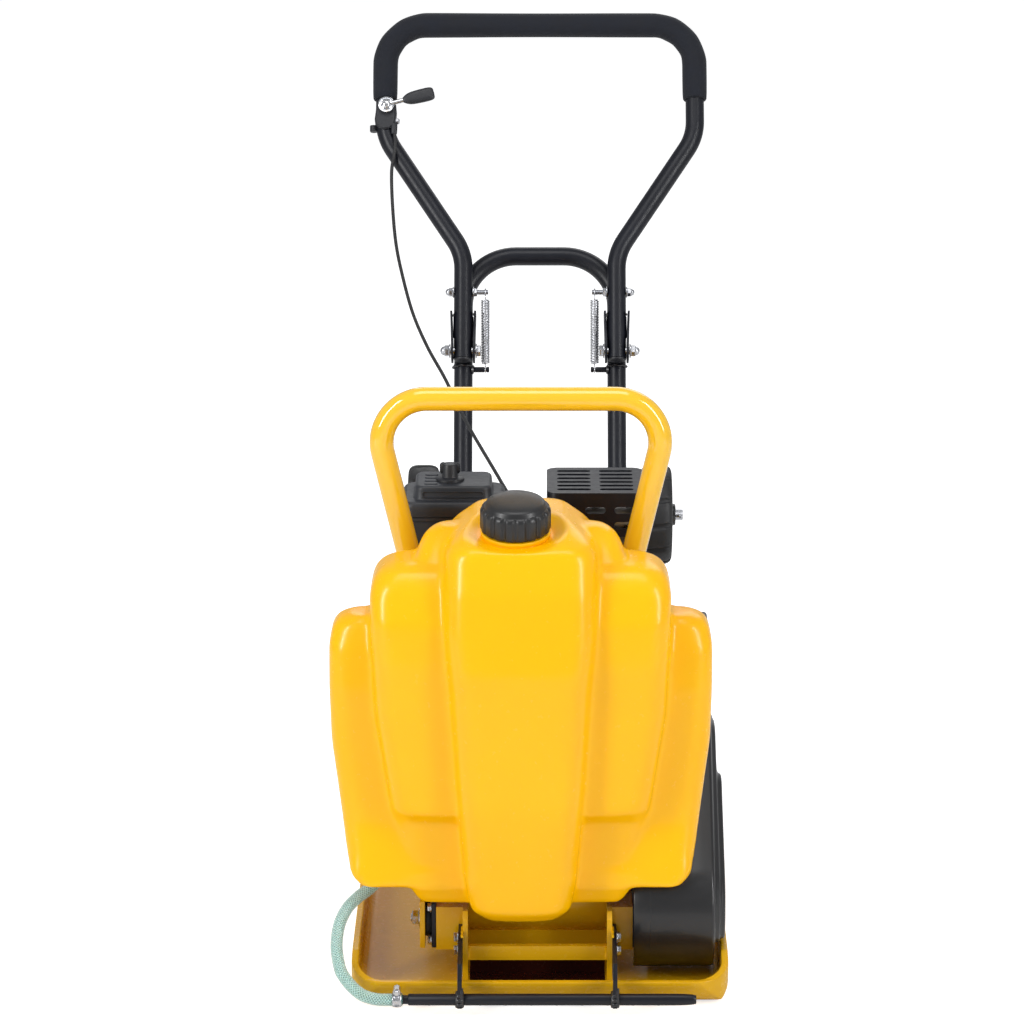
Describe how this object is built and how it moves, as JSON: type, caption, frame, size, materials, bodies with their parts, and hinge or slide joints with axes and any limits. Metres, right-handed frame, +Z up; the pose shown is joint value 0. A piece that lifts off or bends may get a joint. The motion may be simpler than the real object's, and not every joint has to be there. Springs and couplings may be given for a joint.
{
  "type": "plate compactor",
  "caption": "Petrol forward plate compactor with front water tank, spray bar, roll bar, belt-driven exciter, fold-down handle and swing-up wheels.",
  "frame": {"origin": "middle of the base plate's sole, on the ground", "axes": "+Z up, -Y towards the front (direction of travel), +X to the right when the machine is seen from its front"},
  "size_m": [0.4591, 1.0372, 0.9991],
  "materials": {
    "black_plastic": "gloss",
    "black_steel": "gloss",
    "brass": "satin",
    "cast_alloy": "cast",
    "clear_hose": "clear",
    "dull_plastic": "matt",
    "engine_grey": "satin",
    "foam": "foam",
    "iron": "cast",
    "oil_cap": "satin",
    "red_plastic": "satin",
    "rope": "woven",
    "rubber": "matt",
    "tank_plastic": "satin",
    "tyre_rubber": "matt",
    "yellow_paint": "gloss",
    "zinc": "bright"
  },
  "bodies": {
    "base": {"base_plate": "yellow_paint", "base_frame": "yellow_paint", "exciter_housing": "yellow_paint", "exciter_bearings": "zinc", "spray_bar": "black_steel", "spray_brackets": "black_steel", "hose_clamp": "zinc", "mount_flanges": "black_steel", "mount_rubbers": "rubber", "base_bolts": "zinc"},
    "exciter": {"exciter_shaft": "zinc", "exciter_pulley": "iron"},
    "deck": {"deck_plate": "yellow_paint", "deck_bolts": "zinc", "belt_guard": "black_plastic", "drive_belt": "rubber", "water_hose": "clear_hose", "water_tank": "tank_plastic", "tank_valve": "brass", "roll_bar": "yellow_paint", "crankcase": "engine_grey", "cylinder_head": "cast_alloy", "spark_plug": "dull_plastic", "recoil_housing": "black_steel", "pull_rope": "rope", "switch_box": "dull_plastic", "carburettor": "cast_alloy", "air_box": "dull_plastic", "air_lid": "dull_plastic", "muffler": "zinc", "muffler_guard": "black_steel", "fuel_tank": "black_steel", "tank_stays": "black_steel", "oil_plugs": "oil_cap", "control_plate": "zinc", "lower_handle": "black_steel", "pivot_bolts": "zinc", "springs": "zinc", "throttle_cable": "rubber"},
    "crank": {"crankshaft": "zinc", "clutch_hub": "iron"},
    "drum": {"clutch_drum": "iron"},
    "cap_seal": {"cap_gasket": "rubber"},
    "cap": {"tank_cap": "black_plastic"},
    "valve": {"valve_lever": "red_plastic"},
    "starter_grip": {"pull_grip": "dull_plastic"},
    "engine_switch": {"switch_rocker": "red_plastic"},
    "fuel_tap": {"fuel_lever": "dull_plastic"},
    "fuel_lid": {"fuel_cap": "dull_plastic"},
    "governor": {"throttle_arm": "zinc"},
    "handle": {"upper_handle": "black_steel", "foam_grip": "foam", "spring_pins": "zinc", "throttle_clamp": "dull_plastic"},
    "lever": {"throttle_lever": "zinc"},
    "wheel_kit": {"wheel_frame": "black_steel", "wheel_axle": "zinc"},
    "left_wheel": {"wheel_left": "tyre_rubber"},
    "right_wheel": {"wheel_right": "tyre_rubber"}
  },
  "joints": [
    {"name": "deck_bounce", "type": "slide", "parent": "base", "child": "deck", "axis": [0, 0, 1], "range_m": [-0.003, 0.003], "stiffness_N_per_m": 400000, "springref_m": 0.00137, "deforming": ["mount_rubbers", "water_hose", "drive_belt"]},
    {"name": "exciter_spin", "type": "hinge", "parent": "base", "child": "exciter", "pos_m": [0, -0.125, 0.095], "axis": [1, 0, 0], "continuous": true},
    {"name": "drum_spin", "type": "hinge", "parent": "deck", "child": "drum", "pos_m": [0, 0.09, 0.306], "axis": [1, 0, 0], "continuous": true},
    {"name": "crank_spin", "type": "hinge", "parent": "deck", "child": "crank", "pos_m": [0, 0.09, 0.306], "axis": [1, 0, 0], "continuous": true},
    {"name": "cap_lift", "type": "slide", "parent": "deck", "child": "cap_seal", "axis": [0, -0.1736, 0.9848], "range_m": [0, 0.006]},
    {"name": "cap_turn", "type": "hinge", "parent": "cap_seal", "child": "cap", "pos_m": [-0.0276, -0.188, 0.552], "axis": [0, -0.1736, 0.9848], "range_deg": [0, 450]},
    {"name": "valve_turn", "type": "hinge", "parent": "deck", "child": "valve", "pos_m": [-0.205, -0.17, 0.158], "axis": [1, 0, 0], "range_deg": [0, 90]},
    {"name": "starter_pull", "type": "slide", "parent": "deck", "child": "starter_grip", "axis": [0, 0.8, 0.6], "range_m": [0, 0.3], "stiffness_N_per_m": 60, "springref_m": -0.05, "deforming": ["pull_rope"]},
    {"name": "switch_turn", "type": "hinge", "parent": "deck", "child": "engine_switch", "pos_m": [-0.106, -0.013, 0.342], "axis": [1, 0, 0], "range_deg": [-8, 8]},
    {"name": "fuel_tap_turn", "type": "hinge", "parent": "deck", "child": "fuel_tap", "pos_m": [-0.13, 0.03, 0.42], "axis": [1, 0, 0], "range_deg": [0, 60]},
    {"name": "fuel_cap_turn", "type": "hinge", "parent": "deck", "child": "fuel_lid", "pos_m": [0.052, 0.23, 0.45], "axis": [0, 0, 1], "range_deg": [0, 90]},
    {"name": "governor_turn", "type": "hinge", "parent": "deck", "child": "governor", "pos_m": [0.006, 0.06, 0.417], "axis": [0, 0, 1], "range_deg": [0, 30]},
    {"name": "handle_fold", "type": "hinge", "parent": "deck", "child": "handle", "pos_m": [0, 0.51, 0.594], "axis": [1, 0, 0], "range_deg": [0, 115], "deforming": ["springs", "throttle_cable"]},
    {"name": "throttle_turn", "type": "hinge", "parent": "handle", "child": "lever", "pos_m": [-0.2, 0.64985, 0.8902], "axis": [0, 0.878, -0.4787], "range_deg": [0, 60]},
    {"name": "wheel_kit_swing", "type": "hinge", "parent": "deck", "child": "wheel_kit", "pos_m": [0, 0.352, 0.172], "axis": [-1, 0, 0], "range_deg": [0, 87]},
    {"name": "left_wheel_spin", "type": "hinge", "parent": "wheel_kit", "child": "left_wheel", "pos_m": [-0.1495, 0.465, 0.388], "axis": [1, 0, 0], "continuous": true},
    {"name": "right_wheel_spin", "type": "hinge", "parent": "wheel_kit", "child": "right_wheel", "pos_m": [0.1495, 0.465, 0.388], "axis": [1, 0, 0], "continuous": true}
  ],
  "couplings": [
    {"joint": "exciter_spin", "follows": "drum_spin", "ratio": 0.94667},
    {"joint": "cap_lift", "follows": "cap_turn", "m_per_rad": 0.00075},
    {"joint": "governor_turn", "follows": "throttle_turn", "ratio": 0.5}
  ]
}
